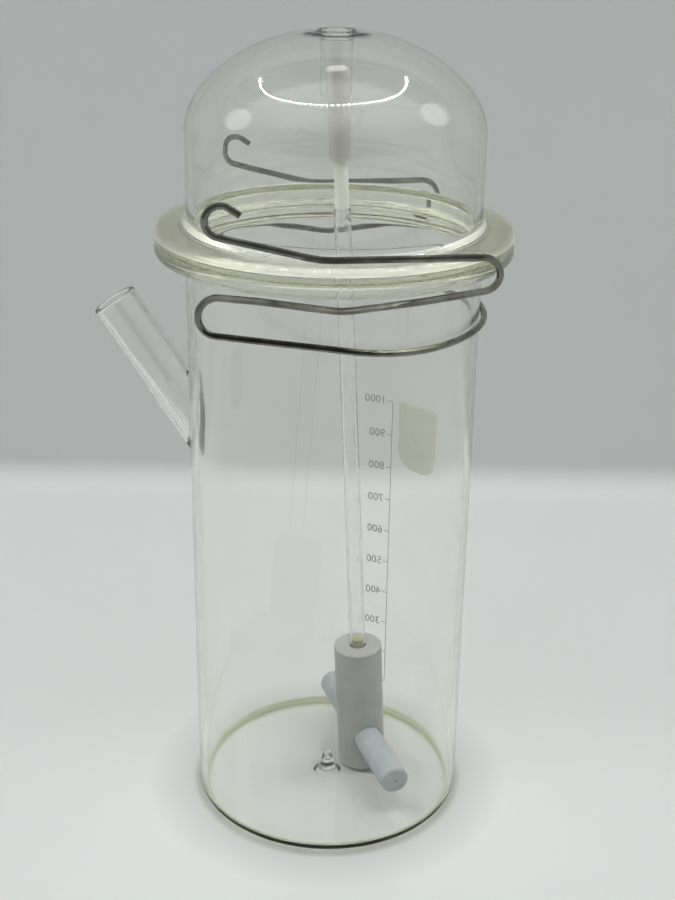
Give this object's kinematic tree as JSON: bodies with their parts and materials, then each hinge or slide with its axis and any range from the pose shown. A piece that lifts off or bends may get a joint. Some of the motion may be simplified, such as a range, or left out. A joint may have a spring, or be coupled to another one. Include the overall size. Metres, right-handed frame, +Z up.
{
  "type": "glass stirring vessel",
  "caption": "Flanged glass jar with an angled side arm, a domed lid held by a sprung wire clamp, and a free-standing magnetic stirrer guided from the crown.",
  "frame": {"origin": "centre of the jar's foot, on the surface it stands on", "axes": "+Z up along the jar's axis; the side arm points towards -X; the clamp's open ends face -X, so it slides off towards +X; the printed scale is on the back wall towards +Y"},
  "size_m": [0.1424, 0.1206, 0.2833],
  "materials": {
    "clear_glass": "polished",
    "arm_glass": "polished",
    "lid_glass": "polished",
    "guide_glass": "polished",
    "shaft_glass": "polished",
    "spring_steel": "polished",
    "white_ptfe": "satin",
    "milky_ptfe": "satin",
    "hub_ptfe": "satin",
    "bar_ptfe": "satin",
    "olive_seal": "matt",
    "magnet": "matt"
  },
  "bodies": {
    "vessel": {"vessel": "clear_glass", "side_arm": "arm_glass"},
    "lid": {"lid": "lid_glass", "guide_tube": "guide_glass"},
    "clamp": {"wire_clamp": "spring_steel"},
    "sleeve": {"guide_sleeve": "white_ptfe"},
    "stirrer": {"stem": "milky_ptfe", "shaft_tube": "shaft_glass", "shaft_plug": "olive_seal", "stirrer_hub": "hub_ptfe", "bar_jacket": "bar_ptfe", "bar_magnet": "magnet"}
  },
  "joints": [
    {"name": "lid_turn", "type": "hinge", "parent": "vessel", "child": "lid", "pos_m": [0, 0, 0.2155], "axis": [0, 0, 1], "continuous": true},
    {"name": "clamp_slide", "type": "slide", "parent": "vessel", "child": "clamp", "axis": [0.999, 0.0454, 0], "range_m": [0, 0.12]},
    {"name": "stirrer_lift", "type": "slide", "parent": "vessel", "child": "sleeve", "axis": [-0.0504, -0.0297, 0.9983], "range_m": [0, 0.009]},
    {"name": "stirrer_spin", "type": "hinge", "parent": "sleeve", "child": "stirrer", "pos_m": [0.01383, 0.00773, 0.0026], "axis": [-0.0504, -0.0297, 0.9983], "range_deg": [-28, 36]}
  ]
}
